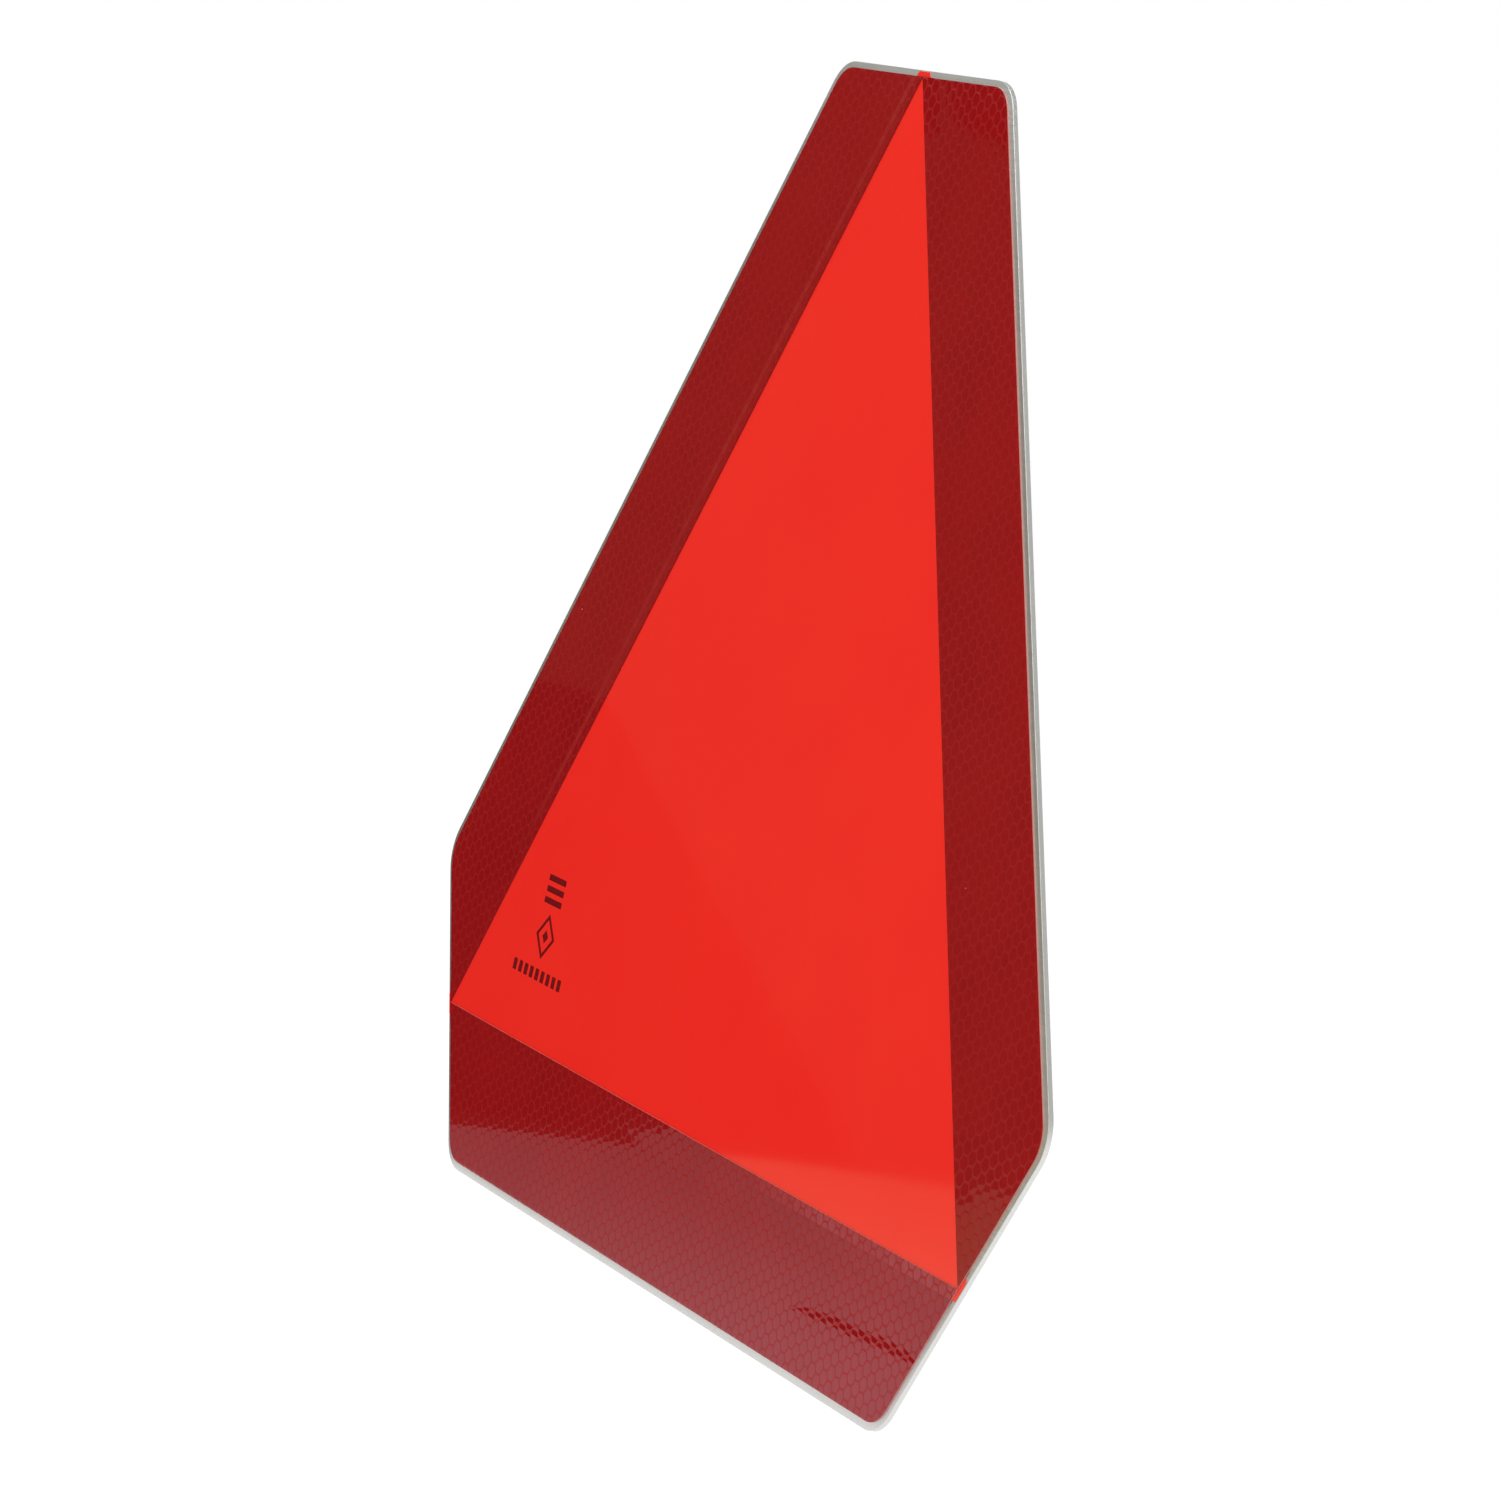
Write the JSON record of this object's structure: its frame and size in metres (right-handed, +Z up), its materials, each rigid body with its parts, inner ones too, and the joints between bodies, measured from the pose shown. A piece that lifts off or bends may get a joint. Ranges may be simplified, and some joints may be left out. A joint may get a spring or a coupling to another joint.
{
  "type": "warning triangle",
  "caption": "Rear marking plate: an aluminium triangle with cut-off rounded corners, a fluorescent red-orange triangle and honeycomb reflective border strips.",
  "frame": {"origin": "centre of the triangle, on the plate's flat rear face", "axes": "+Z up towards the top corner of the triangle, the sheeted front faces -Y, +Y out of the rear face, +X to the right as seen from the front"},
  "size_m": [0.4124, 0.0021, 0.3608],
  "materials": {
    "plate_metal": "mill finish, fine rolling lines, slightly dull",
    "adhesive": "soft, tacky, clear to milky edge",
    "fluorescent_red": "fluorescent red-orange film, semi-gloss",
    "weather_film": "clear gloss film over the fluorescent colour",
    "ink": "screen-printed black ink",
    "reflector": "metallised base film with glass beads",
    "cell_wall": "sealed honeycomb walls",
    "red_face": "clear red gloss face film over honeycomb cells"
  },
  "bodies": {
    "root": {"backing_plate": "plate_metal", "fluorescent_adhesive": "adhesive", "fluorescent_film": "fluorescent_red", "fluorescent_weather_film": "weather_film", "printed_mark": "ink", "bottom_strip_adhesive": "adhesive", "bottom_strip_reflector": "reflector", "bottom_strip_cells": "cell_wall", "bottom_strip_face": "red_face", "right_strip_adhesive": "adhesive", "right_strip_reflector": "reflector", "right_strip_cells": "cell_wall", "right_strip_face": "red_face", "left_strip_adhesive": "adhesive", "left_strip_reflector": "reflector", "left_strip_cells": "cell_wall", "left_strip_face": "red_face"}
  },
  "joints": []
}
